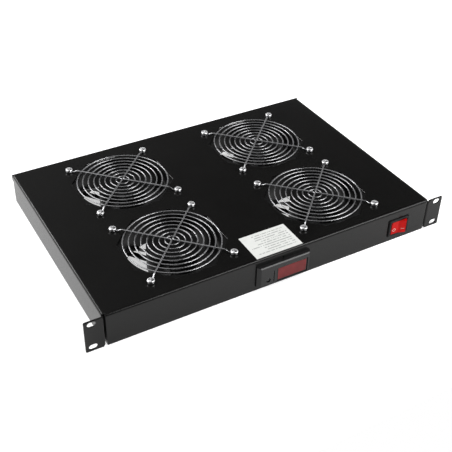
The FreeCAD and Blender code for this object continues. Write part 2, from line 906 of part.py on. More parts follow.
def inlet_body():
    rear = lip_inside + inlet_flange_thickness
    flange = panel_box(inlet_x, inlet_z, inlet_flange_width, inlet_flange_height, lip_inside, rear)
    body = panel_box(inlet_x, inlet_z, inlet_body_width, inlet_body_height, inlet_front, lip_inside)
    x = socket_width / 2
    z = socket_height / 2
    c = socket_corner
    outline = [(-x, -z), (x, -z), (x, z - c), (x - c, z), (c - x, z), (-x, z - c)]
    floor = rear - socket_depth
    points = [Vector(inlet_x + dx, floor, inlet_z + dz) for dx, dz in outline]
    socket = extrude(points, Vector(0, socket_depth + 1, 0))
    slots = pin_blades(inlet_front - 1, floor, pin_seat)
    return fuse([flange, body]).cut(socket).cut(slots)


def inlet_pins():
    return pin_blades(pin_front, plate_depth - pin_setback, 0)


# Wiring: leads of one size, square to the axes, with tangent bends
AXES = (Vector(1, 0, 0), Vector(0, 1, 0), Vector(0, 0, 1))
stud_y = pin_front - stud_forward
stud_z = inlet_z + pin_stagger
block_bottom = plate_under - block_height
probe_z = plate_under - clip_wall - probe_gap - probe_radius


def lead_end(point, direction):
    """The cross-section of a lead that starts here and runs this way."""
    across = [axis * (lead_size / 2) for axis in AXES if abs(axis.dot(direction)) < 0.5]
    points = []
    for a, b in ((-1, -1), (1, -1), (1, 1), (-1, 1)):
        points.append(point + across[0] * a + across[1] * b)
    return Part.Face(Part.makePolygon(points + points[:1]))


def way(start, end):
    step = end - start
    return step.normalize()


def lead_corner(end, before, after):
    """A bend from one run into the next, in flat facets."""
    axis = before.cross(after)
    centre = end + after * lead_bend
    half = lead_size / 2
    points = []
    for radius, order in ((lead_bend - half, 1), (lead_bend + half, -1)):
        arc = []
        for i in range(lead_facets + 1):
            turn = math.pi / 2 * i / lead_facets
            reach = before * (radius * math.sin(turn)) - after * (radius * math.cos(turn))
            arc.append(centre + reach - axis * half)
        points += arc[::order]
    return extrude(points, axis * lead_size)


def lead(*points):
    """A lead from corner point to corner point, straight past a point where it makes no turn."""
    stops = [Vector(*point) for point in points]
    for i in range(len(stops) - 2, 0, -1):
        if (stops[i] - stops[i - 1]).cross(stops[i + 1] - stops[i]).Length < lead_straight:
            del stops[i]
    start = stops[0]
    pieces = []
    for i in range(1, len(stops) - 1):
        before = way(stops[i - 1], stops[i])
        after = way(stops[i], stops[i + 1])
        end = stops[i] - before * lead_bend
        pieces.append(lead_end(start, before).extrude(end - start))
        pieces.append(lead_corner(end, before, after))
        start = stops[i] + after * lead_bend
    last = way(start, stops[-1])
    pieces.append(lead_end(start, last).extrude(stops[-1] - start))
    return fuse(pieces) if len(pieces) > 1 else pieces[0]


def mains_leads():
    """Inlet to switch: live to the lower pole, neutral to the upper pole."""
    live_x, pin_z = PINS[0]
    neutral_x = PINS[1][0]
    tab_x = switch_x + tab_pitch_x / 2
    turn = switch_rear + lead_turn
    live = lead(
        (live_x, pin_front, pin_z),
        (live_x, turn, pin_z),
        (tab_x, turn, pin_z),
        (tab_x, switch_rear, pin_z),
    )
    turn += lead_spread
    neutral = lead(
        (neutral_x, pin_front, pin_z),
        (neutral_x, turn, pin_z),
        (neutral_x, turn, upper_pole_z),
        (tab_x, turn, upper_pole_z),
        (tab_x, switch_rear, upper_pole_z),
    )
    return Part.makeCompound([live, neutral])


def switched_leads():
    """Switch to controller, through the gap between the right-hand fans."""
    tab_x = switch_x - tab_pitch_x / 2
    leads = []
    for i, z in enumerate((lower_pole_z, upper_pole_z)):
        y = gap_y + (i - 0.5) * lead_spread
        x = switched_x + i * switched_pitch
        leads.append(lead((tab_x, switch_rear, z), (tab_x, y, z), (x, y, z), (x, case_rear, z)))
    return Part.makeCompound(leads)


def supply_leads():
    """Controller to terminal block."""
    z = block_bottom + supply_lift
    leads = []
    for sign in (-1, 1):
        x = sign * supply_spread / 2
        leads.append(lead((x, case_rear, z), (x, gap_y - block_length / 2, z)))
    return Part.makeCompound(leads)


def fan_leads():
    """Terminal block to each fan's lower flange."""
    flange_z = fan_bottom + fan_flange / 2
    block_z = plate_under - block_height / 2
    leads = []
    for x, y in FANS.values():
        side = math.copysign(1, x)
        run_y = gap_y + math.copysign(row_gap / 2 + lead_corner_inset, y - gap_y)
        bay = side * lead_bay
        leads.append(
            lead(
                (side * centre_bay / 2, run_y, flange_z),
                (bay, run_y, flange_z),
                (bay, run_y, block_z),
                (side * block_width / 2, run_y, block_z),
            )
        )
    return Part.makeCompound(leads)


def terminal_block():
    """Block under the plate, slotted between its poles."""
    x = block_width / 2
    y0 = gap_y - block_length / 2
    block = box(-x, x, y0, y0 + block_length, block_bottom, plate_under)
    slots = []
    for i in range(1, block_poles):
        y = y0 + i * block_length / block_poles - block_slot / 2
        slots.append(box(-x - 1, x + 1, y, y + block_slot, block_bottom - 1, block_bottom + block_slot_depth))
    return block.cut(Part.makeCompound(slots))


def earth_stud():
    """Stud welded to the side wall, and the nut that holds the earth lug."""
    stud = peg(0, 0, -stud_length, 0, stud_radius)
    nut_top = -lug_thickness
    nut = polygon_prism(0, 0, nut_top - nut_thickness, nut_top, nut_width / 2 / math.cos(math.pi / 6), 6)
    nut = nut.cut(hole(0, 0, -stud_length, 0, stud_radius + stud_seat))
    return lay_x(Part.makeCompound([stud, nut]), wall_inside, stud_y, stud_z)


def earth_lead():
    """Earth pin to stud, with a ring lug."""
    earth_x = PINS[2][0]
    x = wall_inside - lead_size / 2
    turn = pin_front - 2 * lead_bend
    wire_end = stud_y + lug_tongue - lug_overlap
    wire = lead(
        (earth_x, pin_front, stud_z), (earth_x, turn, stud_z), (x, turn, stud_z), (x, wire_end, stud_z)
    )
    half = lead_size / 2
    ring = peg(0, 0, -lug_thickness, 0, lug_radius)
    tongue = box(-half, half, 0, lug_tongue, -lug_thickness, 0)
    lug = fuse([ring, tongue]).cut(hole(0, 0, -lug_thickness - 1, 1, stud_radius + stud_seat))
    return fuse([wire, lay_x(lug, wall_inside, stud_y, stud_z)])


def sensor_probe():
    probe = peg(0, 0, -probe_length / 2, probe_length / 2, probe_radius)
    return lay_x(probe, -fan_x, gap_y, probe_z)


def sensor_clip():
    half = probe_radius + probe_gap + clip_wall
    x0 = -fan_x - clip_block_width / 2
    block = box(x0, x0 + clip_block_width, gap_y - half, gap_y + half, probe_z - half, plate_under)
    bore = hole(0, 0, -probe_length / 2, probe_length / 2, probe_radius + probe_gap)
    return block.cut(lay_x(bore, -fan_x, gap_y, probe_z))


def sensor_lead():
    x = controller_x - sensor_lead_x
    z = controller_z
    probe_end = -fan_x + probe_length / 2
    return lead((x, case_rear, z), (x, gap_y, z), (x, gap_y, probe_z), (probe_end, gap_y, probe_z))


nodes = {
    "chassis": chassis(),
    "guard_screws": guard_screws(),
    "rating_sticker": rating_sticker(),
    "controller_case": controller_case(),
    "controller_window": controller_window(),
    "controller_display": controller_display(),
    "controller_board": controller_board(),
    "controller_button": controller_button(),
    "controller_terminals": controller_terminals(),
    "controller_clips": controller_clips(),
    "switch_housing": switch_housing(),
    "switch_rocker": switch_rocker(),
    "switch_terminals": switch_terminals(),
    "inlet_bracket": inlet_bracket(),
    "inlet_body": inlet_body(),
    "inlet_pins": inlet_pins(),
    "terminal_block": terminal_block(),
    "mains_leads": mains_leads(),
    "switched_leads": switched_leads(),
    "supply_leads": supply_leads(),
    "fan_leads": fan_leads(),
    "earth_stud": earth_stud(),
    "earth_lead": earth_lead(),
    "sensor_probe": sensor_probe(),
    "sensor_clip": sensor_clip(),
    "sensor_lead": sensor_lead(),
}
fan_pieces = {
    "fan_frame": fan_frame(),
    "sleeve_bearing": sleeve_bearing(),
    "motor_shaft": motor_shaft(),
    "stator": stator(),
    "impeller": impeller(),
    "finger_guard": finger_guard(),
}
for place, (fan_place_x, fan_place_y) in FANS.items():
    for piece, shape in fan_pieces.items():
        nodes[piece + "_" + place] = shape.translated(Vector(fan_place_x, fan_place_y, 0))

os.makedirs("parts", exist_ok=True)
for node, shape in nodes.items():
    shape.exportStep("parts/" + node + ".step")
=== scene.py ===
import bpy
import bmesh
import json
import math
from mathutils import Matrix, Vector


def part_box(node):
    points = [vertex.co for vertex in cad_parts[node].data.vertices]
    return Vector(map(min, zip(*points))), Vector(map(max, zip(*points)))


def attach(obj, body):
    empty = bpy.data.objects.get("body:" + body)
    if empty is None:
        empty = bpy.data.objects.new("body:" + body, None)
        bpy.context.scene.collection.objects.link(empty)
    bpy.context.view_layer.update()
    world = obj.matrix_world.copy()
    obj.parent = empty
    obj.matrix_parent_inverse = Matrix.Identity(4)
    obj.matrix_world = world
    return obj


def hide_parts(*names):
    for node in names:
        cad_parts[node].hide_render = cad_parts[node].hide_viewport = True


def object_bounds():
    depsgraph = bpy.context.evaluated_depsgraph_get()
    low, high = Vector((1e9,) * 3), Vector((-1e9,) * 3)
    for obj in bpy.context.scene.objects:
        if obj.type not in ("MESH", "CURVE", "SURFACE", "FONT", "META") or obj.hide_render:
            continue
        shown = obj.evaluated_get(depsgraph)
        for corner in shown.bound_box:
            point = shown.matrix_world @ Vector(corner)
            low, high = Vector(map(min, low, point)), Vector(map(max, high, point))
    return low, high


# Rack fan tray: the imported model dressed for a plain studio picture.
# Metres, +X right, +Y back, +Z up. Angles among the sizes are in degrees.
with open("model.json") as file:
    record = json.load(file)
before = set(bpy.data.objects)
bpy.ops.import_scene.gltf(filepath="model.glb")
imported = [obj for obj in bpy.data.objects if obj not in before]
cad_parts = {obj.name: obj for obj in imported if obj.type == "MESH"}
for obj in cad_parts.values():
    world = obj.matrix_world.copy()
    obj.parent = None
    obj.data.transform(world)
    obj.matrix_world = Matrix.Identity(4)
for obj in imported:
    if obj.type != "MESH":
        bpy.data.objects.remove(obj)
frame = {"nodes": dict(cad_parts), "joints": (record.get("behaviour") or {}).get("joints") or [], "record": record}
cad_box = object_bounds()
nodes = frame["nodes"]
mm = 0.001

# Sizes that the dressing repeats from the model
sheet = 1.5 * mm
ear_width = 21.3 * mm
hole_half = 52.5 * mm
ring_count = 8
ring_inner_radius = 8.3 * mm
ring_pitch = 7.05 * mm
ring_wire = 1.6 * mm
leg_wire = 1.8 * mm
guard_rise = 2.8 * mm
leg_fold_radius = 3.0 * mm
leg_step_start = 61.85 * mm
leg_step_run = 7.5 * mm
loop_radius = 3.3 * mm
screw_head_radius = 4.5 * mm
screw_head_height = 3.3 * mm
screw_shank_radius = 2.15 * mm
screw_length = 10.0 * mm
fan_half = 60.0 * mm
fan_corner_radius = 3.5 * mm
fan_flange = 5.0 * mm
fan_hole_radius = 2.4 * mm
fan_bore_radius = 57.5 * mm
barrel_wall = 2.4 * mm
strut_width = 6.0 * mm
strut_height = 4.0 * mm
strut_count = 4
strut_phase = 37.0
motor_base_radius = 30.0 * mm
tube_inner_radius = 4.6 * mm
tube_outer_radius = 6.3 * mm
tube_height = 22.0 * mm
hub_radius = 31.0 * mm
hub_wall = 2.0 * mm
hub_edge = 2.0 * mm
blade_count = 5
blade_phase = 70.0
blade_tip_gap = 1.5 * mm
blade_root_chord = 33.0 * mm
blade_tip_chord = 62.0 * mm
blade_root_pitch = 48.0
blade_tip_pitch = 28.0
blade_thickness = 1.8 * mm
blade_middle_depth = 17.0 * mm
lead_radius = 1.1 * mm
lead_bend = 4.0 * mm
rocker_rest = 11.0
rocker_radius = 11.9 * mm
rocker_pivot_depth = 3.0 * mm
rocker_middle_proud = 2.2 * mm
rocker_end_proud = 4.2 * mm

# Sizes of the dressing alone
smooth_angle = 35.0
axis_radius = 0.02 * mm
circle_step = 0.9 * mm
leg_handle = 3.2 * mm
screw_rim_height = 0.42 * screw_head_height
screw_foot_radius = 0.96 * screw_head_radius
screw_core_height = 0.2 * screw_head_height
recess_radius = 0.48 * screw_head_radius
recess_half_width = 0.5 * mm
recess_depth = 1.3 * mm
flange_edge = 0.3 * mm
barrel_inset = 0.8 * fan_flange
strut_edge = 0.5 * mm
strut_lap = 2.0 * mm
motor_base_edge = 0.6 * mm
blade_taper = 0.75
sign_size = 2.2 * mm
sign_ring_inner = 0.72 * sign_size
sign_bar_width = 0.55 * mm
sign_depth = 0.06 * mm
sign_drop = -3.0 * mm

plate_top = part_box("rating_sticker")[0].z
plate_under = plate_top - sheet
floor_z = cad_box[0].z
fan_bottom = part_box("fan_frame_front_left")[0].z
hub_low, hub_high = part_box("impeller_front_left")
FANS = {
    joint["name"].removeprefix("fan_spin_"): Vector(joint["pos_m"])
    for joint in frame["joints"]
    if joint["name"].startswith("fan_spin_")
}
CORNERS = [(sx, sy) for sx in (-1, 1) for sy in (-1, 1)]

# Runs of the inner leads as in the model, corner by corner, in millimetres
LEADS = {
    "mains_leads": [
        [(195.5, 262.5, -6.8), (195.5, 42, -6.8), (181.1, 42, -6.8), (181.1, 30, -6.8)],
        [
            (209.5, 262.5, -6.8),
            (209.5, 50, -6.8),
            (209.5, 50, 3.2),
            (181.1, 50, 3.2),
            (181.1, 30, 3.2),
        ],
    ],
    "switched_leads": [
        [(167.1, 30, -6.8), (167.1, 143, -6.8), (13, 143, -6.8), (13, 56.5, -6.8)],
        [(167.1, 30, 3.2), (167.1, 151, 3.2), (18, 151, 3.2), (18, 56.5, 3.2)],
    ],
    "supply_leads": [[(x, 56.5, 9), (x, 127, 9)] for x in (-6, 6)],
    "fan_leads": [
        [(40 * side, y, -14.8), (26 * side, y, -14.8), (26 * side, y, 13.7), (12 * side, y, 13.7)]
        for side in (-1, 1)
        for y in (131.5, 162.5)
    ],
    "sensor_lead": [
        [(-18.15, 56.5, -1), (-18.15, 147, -1), (-18.15, 147, 16.1), (-88, 147, 16.1)],
    ],
}


# Shader helpers
class Nodes:
    """A node tree and short ways to add to it. An input takes a number, a colour or a socket."""

    def __init__(self, tree):
        self.tree = tree

    def feed(self, target, value):
        if isinstance(value, bpy.types.NodeSocket):
            self.tree.links.new(value, target)
        else:
            target.default_value = value

    def add(self, kind, inputs=None, **settings):
        node = self.tree.nodes.new(kind)
        for key, value in settings.items():
            setattr(node, key, value)
        for name, value in (inputs or {}).items():
            self.feed(node.inputs[name], value)
        return node

    def math(self, operation, *values):
        node = self.add("ShaderNodeMath", operation=operation)
        for target, value in zip(node.inputs, values):
            self.feed(target, value)
        return node.outputs["Value"]

    def between(self, value, start, end):
        """One where the value lies between the two, else zero."""
        above = self.math("GREATER_THAN", value, start)
        return self.math("MULTIPLY", above, self.math("LESS_THAN", value, end))

    def map_range(self, value, start, end, low, high):
        """The span from start to end laid onto low to high, and held there outside it."""
        inputs = {"Value": value, "From Min": start, "From Max": end, "To Min": low, "To Max": high}
        return self.add("ShaderNodeMapRange", inputs).outputs["Result"]

    def split(self, vector):
        node = self.add("ShaderNodeSeparateXYZ", {"Vector": vector})
        return [node.outputs[axis] for axis in "XYZ"]

    def mix(self, factor, first, second):
        inputs = {"Factor": factor, "A": first, "B": second}
        return self.add("ShaderNodeMix", inputs, data_type="RGBA").outputs["Result"]

    def seen_directly(self):
        """One for camera rays and for what gloss and clear surfaces show, else zero."""
        path = self.add("ShaderNodeLightPath")
        value = path.outputs["Is Camera Ray"]
        for ray in ("Is Glossy Ray", "Is Transmission Ray"):
            value = self.math("MAXIMUM", value, path.outputs[ray])
        return value


class Paint(Nodes):
    """A material with a principled shader, and the nodes that vary it over the surface."""

    # Most of a noise lies between these values
    noise_low, noise_high = 0.3, 0.7

    def __init__(self, name, base, roughness, metallic=0.0):
        self.material = bpy.data.materials.new(name)
        self.material.use_nodes = True
        super().__init__(self.material.node_tree)
        self.shader = self.tree.nodes["Principled BSDF"]
        self.base = base
        self.shade("Base Color", (*base, 1))
        self.shade("Roughness", roughness)
        self.shade("Metallic", metallic)
        self.place = self.add("ShaderNodeTexCoord").outputs["Object"]

    def shade(self, name, value):
        self.feed(self.shader.inputs[name], value)

    def noise(self, size, detail=2.0, stretch=(1, 1, 1)):
        """Noise whose features are about this large, in metres."""
        mapping = self.add("ShaderNodeMapping", {"Scale": stretch, "Vector": self.place})
        inputs = {"Scale": 1 / size, "Detail": detail, "Vector": mapping.outputs["Vector"]}
        return self.add("ShaderNodeTexNoise", inputs).outputs["Fac"]

    def ramp(self, factor, low, high):
        """A colour that drifts with a noise from one to the other."""
        node = self.add("ShaderNodeValToRGB", {"Fac": factor})
        stops = node.color_ramp.elements
        stops[0].position, stops[1].position = self.noise_low, self.noise_high
        stops[0].color, stops[1].color = (*low, 1), (*high, 1)
        return node.outputs["Color"]

    def tint(self, factor, spread):
        """Base colour that drifts a little to both sides of the plain one."""
        low = [c * (1 - spread) for c in self.base]
        high = [c * (1 + spread) for c in self.base]
        self.shade("Base Color", self.ramp(factor, low, high))

    def rough(self, factor, low, high):
        """Roughness that drifts with a noise from one value to the other."""
        value = self.map_range(factor, self.noise_low, self.noise_high, low, high)
        self.shade("Roughness", value)
        return value

    def bump(self, factor, depth, edge):
        """Relief of this depth, on edges softened to this radius, both in metres."""
        soft = self.add("ShaderNodeBevel", {"Radius": edge}, samples=8)
        inputs = {"Strength": 1.0, "Distance": depth, "Height": factor}
        inputs["Normal"] = soft.outputs["Normal"]
        self.shade("Normal", self.add("ShaderNodeBump", inputs).outputs["Normal"])


def powder_coat():
    """Semi-gloss black powder coat with a fine, pebbled surface."""
    gap_width = 5.0 * mm
    fold_reach = 5.0 * mm
    cut_edge = 0.4 * mm
    fold_edge = 2.1 * mm
    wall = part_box("chassis")[1].x - ear_width
    paint = Paint("powder_coat", (0.0044, 0.0043, 0.0041), 0.3)
    grain = paint.noise(0.9 * mm, detail=3)
    paint.tint(paint.noise(40 * mm), spread=0.12)
    gloss = paint.rough(grain, 0.19, 0.26)
    # Powder settles thin and dry in a narrow gap
    reach = {"Distance": gap_width}
    gap = paint.add("ShaderNodeAmbientOcclusion", reach, samples=8, only_local=True)
    closed = paint.math("SUBTRACT", 1.0, gap.outputs["AO"])
    paint.shade("Roughness", paint.math("MAXIMUM", gloss, closed))
    # The folds are rounder than the sheet's cut edges
    x, y, z = paint.split(paint.place)
    front = paint.math("LESS_THAN", y, fold_reach)
    side = paint.math("GREATER_THAN", paint.math("ABSOLUTE", x), wall - fold_reach)
    high = paint.math("GREATER_THAN", z, plate_top - fold_reach)
    fold = paint.math("MULTIPLY", paint.math("MAXIMUM", front, side), high)
    radius = paint.math("ADD", paint.math("MULTIPLY", fold, fold_edge), cut_edge)
    paint.bump(grain, depth=0.016 * mm, edge=radius)
    paint.shade("Specular IOR Level", 0.21)
    return paint.material


def moulded(name, base, low, high, grain=0.5 * mm, depth=0.008 * mm, edge=0.4 * mm, gloss=0.22):
    """Injection moulding with a fine spark-eroded grain."""
    paint = Paint(name, base, low)
    relief = paint.noise(grain, detail=3)
    paint.tint(paint.noise(15 * mm), spread=0.1)
    paint.rough(relief, low, high)
    paint.bump(relief, depth, edge)
    paint.shade("Specular IOR Level", gloss)
    return paint.material


def metal(
    name, base, low, high, patch=8 * mm, spread=0.1, grain=0.7 * mm, detail=3, stretch=(1, 1, 1)
):
    """Bare or plated metal with fine drawing marks."""
    paint = Paint(name, base, low, metallic=1.0)
    paint.tint(paint.noise(patch), spread)
    paint.rough(paint.noise(grain, detail, stretch), low, high)
    return paint.material


def rocker_red():
    """Bright red moulding with a soft gloss."""
    paint = Paint("rocker_red", (0.58, 0.007, 0.0055), 0.3)
    paint.tint(paint.noise(7 * mm), spread=0.12)
    paint.rough(paint.noise(1 * mm, detail=3), 0.28, 0.4)
    paint.shade("Specular IOR Level", 0.08)
    return paint.material


def window_red():
    """Deep red filter lens over a dark display, with a black border printed on its back."""
    low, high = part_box("controller_window")
    middle = (low + high) / 2
    half = (high - low) / 2
    border = 1.0 * mm
    black = (0.004, 0.003, 0.003, 1)
    paint = Paint("window_red", (0.16, 0.007, 0.008), 0.18)
    x, _, z = paint.split(paint.place)
    across = paint.math("COMPARE", x, middle.x, half.x - border)
    upwards = paint.math("COMPARE", z, middle.z, half.z - border)
    clear = paint.math("MULTIPLY", across, upwards)
    lens = paint.ramp(paint.noise(12 * mm, detail=1), (0.13, 0.006, 0.007), (0.18, 0.009, 0.01))
    paint.shade("Base Color", paint.mix(clear, black, lens))
    paint.rough(paint.noise(1.2 * mm, detail=3), 0.15, 0.24)
    paint.shade("Specular IOR Level", 0.22)
    return paint.material


def sticker_film():
    """White film with plain rows of dashes, and no lettering."""
    low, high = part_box("rating_sticker")
    width, depth = high.x - low.x, high.y - low.y
    margin = 4.0 * mm
    row_pitch = 3.9 * mm
    row_middle, row_half = 0.5, 0.16
    row_indent = 0.3 * width
    dash_pitch = 1.2 * mm
    dash_gaps = 0.25
    grey = (0.36, 0.365, 0.36, 1)
    paint = Paint("sticker_film", (0.75, 0.76, 0.735), 0.45)
    x, y, _ = paint.split(paint.place)
    across = paint.math("SUBTRACT", x, low.x)
    along = paint.math("SUBTRACT", y, low.y)
    row = paint.math("DIVIDE", along, row_pitch)
    row_number = paint.math("FLOOR", row)
    ruled = paint.math("COMPARE", paint.math("FRACT", row), row_middle, row_half)
    # Each row has an indent of its own
    indent = paint.add("ShaderNodeTexWhiteNoise", {"W": row_number}, noise_dimensions="1D")
    start = paint.math("MULTIPLY_ADD", indent.outputs["Value"], row_indent, margin)
    inside = paint.between(across, start, width - margin)
    fits = paint.between(along, margin, depth - margin)
    # Some cells of a row stay empty, and the others run together into dashes
    cell_number = paint.math("FLOOR", paint.math("DIVIDE", across, dash_pitch))
    cell = paint.add("ShaderNodeCombineXYZ", {"X": cell_number, "Y": row_number}).outputs["Vector"]
    dash = paint.add("ShaderNodeTexWhiteNoise", {"Vector": cell}, noise_dimensions="2D")
    dashed = paint.math("GREATER_THAN", dash.outputs["Value"], dash_gaps)
    printed = paint.math("MULTIPLY", ruled, dashed)
    ink = paint.math("MULTIPLY", printed, paint.math("MULTIPLY", inside, fits))
    paper = paint.ramp(paint.noise(9 * mm), (0.73, 0.74, 0.715), (0.77, 0.78, 0.755))
    paint.shade("Base Color", paint.mix(ink, paper, grey))
    paint.rough(paint.noise(1.5 * mm, detail=3), 0.4, 0.55)
    return paint.material


chrome = {"patch": 6 * mm, "spread": 0.06, "grain": 4 * mm, "detail": 2}
zinc = {"patch": 1.5 * mm, "spread": 0.08, "grain": 0.6 * mm}
cast = {"grain": 0.8 * mm, "depth": 0.02 * mm, "gloss": 0.15}
MATERIALS = {
    "black_powder_coat": powder_coat(),
    "chrome_wire": metal("chrome_wire", (0.4, 0.4, 0.41), 0.25, 0.3, **chrome),
    "screw_chrome": metal("screw_plate", (0.78, 0.78, 0.79), 0.2, 0.32, **zinc),
    "sticker_white": sticker_film(),
    "rocker_red": rocker_red(),
    "window_red": window_red(),
    "moulded_black": moulded(
        "moulded_black", (0.007, 0.007, 0.0072), 0.18, 0.26, edge=0.6 * mm, gloss=0.28
    ),
    "fan_frame_black": moulded("fan_frame_black", (0.006, 0.006, 0.006), 0.35, 0.5, **cast),
    "impeller_black": moulded("impeller_black", (0.006, 0.006, 0.0062), 0.3, 0.42, gloss=0.12),
    "display_dark": moulded("display_dark", (0.05, 0.012, 0.012), 0.3, 0.5),
    "board_green": moulded("board_green", (0.02, 0.11, 0.04), 0.25, 0.4, grain=1.5 * mm),
    "nylon_white": moulded("nylon_white", (0.68, 0.67, 0.62), 0.35, 0.5),
    "lead_green": moulded("lead_green", (0.13, 0.3, 0.03), 0.35, 0.5),
    "lead_dark": moulded("lead_dark", (0.02, 0.02, 0.022), 0.35, 0.5),
    "bright_steel": metal("bright_steel", (0.6, 0.6, 0.6), 0.18, 0.34),
    "bearing_bronze": metal("bearing_bronze", (0.5, 0.33, 0.16), 0.35, 0.55),
    "winding_steel": metal("winding_steel", (0.42, 0.22, 0.12), 0.3, 0.5, stretch=(1, 1, 12)),
    "terminal_brass": metal("terminal_brass", (0.72, 0.66, 0.5), 0.2, 0.36),
}
# The switch is moulded in a duller black than the controller
switch_black = moulded("switch_black", (0.007, 0.007, 0.007), 0.4, 0.5, gloss=0.12)


# Mesh helpers
def new_object(name, data, slot, body):
    """A finished piece: linked, painted, and carried by its body."""
    piece = bpy.data.objects.new(name, data)
    bpy.context.scene.collection.objects.link(piece)
    data.materials.clear()
    data.materials.append(MATERIALS[slot])
    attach(piece, body)
    return piece


def to_mesh(name, bm):
    mesh = bpy.data.meshes.new(name)
    bmesh.ops.remove_doubles(bm, verts=bm.verts, dist=1e-6)
    bmesh.ops.recalc_face_normals(bm, faces=bm.faces)
    bm.to_mesh(mesh)
    bm.free()
    mesh.shade_smooth()
    mesh.set_sharp_from_angle(angle=math.radians(smooth_angle))
    return mesh


def add_mesh(bm, mesh, matrix):
    """A copy of a mesh, moved by a matrix."""
    start = len(bm.verts)
    bm.from_mesh(mesh)
    bm.verts.ensure_lookup_table()
    bmesh.ops.transform(bm, matrix=matrix, verts=bm.verts[start:])


def bridge(bm, first, second):
    """Faces between two closed rows of as many points."""
    count = len(first)
    for j in range(count):
        k = (j + 1) % count
        bm.faces.new((first[j], second[j], second[k], first[k]))


def revolve(bm, profile, centre, segments):
    """A closed profile of (radius, height) points, turned about a vertical line."""
    rows = []
    for i in range(segments):
        turn = 2 * math.pi * i / segments
        out = Vector((math.cos(turn), math.sin(turn), 0))
        rows.append([bm.verts.new(centre + out * r + Vector((0, 0, z))) for r, z in profile])
    for first, second in zip(rows, rows[1:] + rows[:1]):
        bridge(bm, first, second)


def arc(centre, radius, start, end, steps):
    """Points on an arc in a profile's plane."""
    points = []
    for i in range(steps + 1):
        turn = math.radians(start + (end - start) * i / steps)
        points.append((centre[0] + radius * math.cos(turn), centre[1] + radius * math.sin(turn)))
    return points


def block_mesh(low, high, edge):
    """A block with rounded edges."""
    bm = bmesh.new()
    bmesh.ops.create_cube(bm, size=1)
    size = Vector(high) - Vector(low)
    middle = (Vector(high) + Vector(low)) / 2
    for vert in bm.verts:
        vert.co = Vector(vert.co[i] * size[i] + middle[i] for i in range(3))
    bmesh.ops.bevel(bm, geom=bm.edges[:], offset=edge, segments=2, profile=0.5, affect="EDGES")
    mesh = bpy.data.meshes.new("block")
    bm.to_mesh(mesh)
    bm.free()
    return mesh


def wire_curve(name, radius, roundness):
    curve = bpy.data.curves.new(name, "CURVE")
    curve.dimensions = "3D"
    curve.bevel_depth = radius
    curve.bevel_resolution = roundness
    return curve


def circle_spline(curve, centre, radius, thickness=1.0):
    """A closed circle as four Bezier points."""
    spline = curve.splines.new("BEZIER")
    spline.bezier_points.add(3)
    spline.use_cyclic_u = True
    spline.resolution_u = max(8, round(radius / circle_step))
    handle = radius * 4 / 3 * (math.sqrt(2) - 1)
    for i, point in enumerate(spline.bezier_points):
        turn = math.pi / 2 * i
        out = Vector((math.cos(turn), math.sin(turn), 0))
        along = Vector((-math.sin(turn), math.cos(turn), 0))
        point.co = centre + out * radius
        point.handle_left = point.co - along * handle
        point.handle_right = point.co + along * handle
        point.radius = thickness


def poly_spline(curve, points, closed=False):
    """Straight lines from point to point."""
    spline = curve.splines.new("POLY")
    spline.points.add(len(points) - 1)
    spline.use_cyclic_u = closed
    for point, place in zip(spline.points, points):
        point.co = (*place, 1)


# Finger guards: round wire
def leg_spline(curve, centre, sign, thickness):
    """A leg wire: up from one screw, in to the middle, and out again to the next screw."""
    seated = plate_top + leg_wire / 2
    raised = seated + guard_rise
    loop_edge = hole_half * math.sqrt(2) - loop_radius
    stops = [(loop_edge, seated), (leg_step_start + leg_step_run, seated)]
    stops += [(leg_step_start, raised), (leg_fold_radius, raised)]
    places, directions = [], []
    for side in (1, -1):
        out = Vector((sign, side, 0)).normalized()
        places += [centre + out * reach + Vector((0, 0, z)) for reach, z in stops[::side]]
        directions += [out * -side] * len(stops)
    runs = [(b - a).length for a, b in zip(places, places[1:])]
    spline = curve.splines.new("BEZIER")
    spline.bezier_points.add(len(places) - 1)
    spline.resolution_u = 12
    # The bend by the middle and the step each keep straight wire beside them
    before, after = runs[:1] + runs, runs + runs[-1:]
    for i, point in enumerate(spline.bezier_points):
        point.co = places[i]
        point.radius = thickness
        point.handle_left = places[i] - directions[i] * min(before[i] / 3, leg_handle)
        point.handle_right = places[i] + directions[i] * min(after[i] / 3, leg_handle)


def finger_guard(place, centre):
    curve = wire_curve("guard_wire_" + place, ring_wire / 2, roundness=4)
    flat = Vector((centre.x, centre.y, 0))
    ring_z = Vector((0, 0, plate_top + guard_rise - ring_wire / 2))
    for i in range(ring_count):
        circle_spline(curve, flat + ring_z, ring_inner_radius + i * ring_pitch)
    thickness = leg_wire / ring_wire
    for sign in (-1, 1):
        leg_spline(curve, flat, sign, thickness)
    for sx, sy in CORNERS:
        loop = Vector((sx * hole_half, sy * hole_half, plate_top + leg_wire / 2))
        circle_spline(curve, flat + loop, loop_radius, thickness)
    guard = new_object("guard_wire_" + place, curve, "chrome_wire", "tray")
    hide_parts("finger_guard_" + place)


# Screws: pan heads with a cross recess
def screw_top(x, y):
    """Height of the head's top face, dished where the cross recess is."""
    radius = math.hypot(x, y)
    share = radius / screw_head_radius
    dome = math.sqrt(max(0.0, 1 - share**2))
    height = screw_rim_height + (screw_head_height - screw_rim_height) * dome
    if radius < recess_radius and min(abs(x), abs(y)) < recess_half_width:
        height -= recess_depth * (1 - share)
    return height


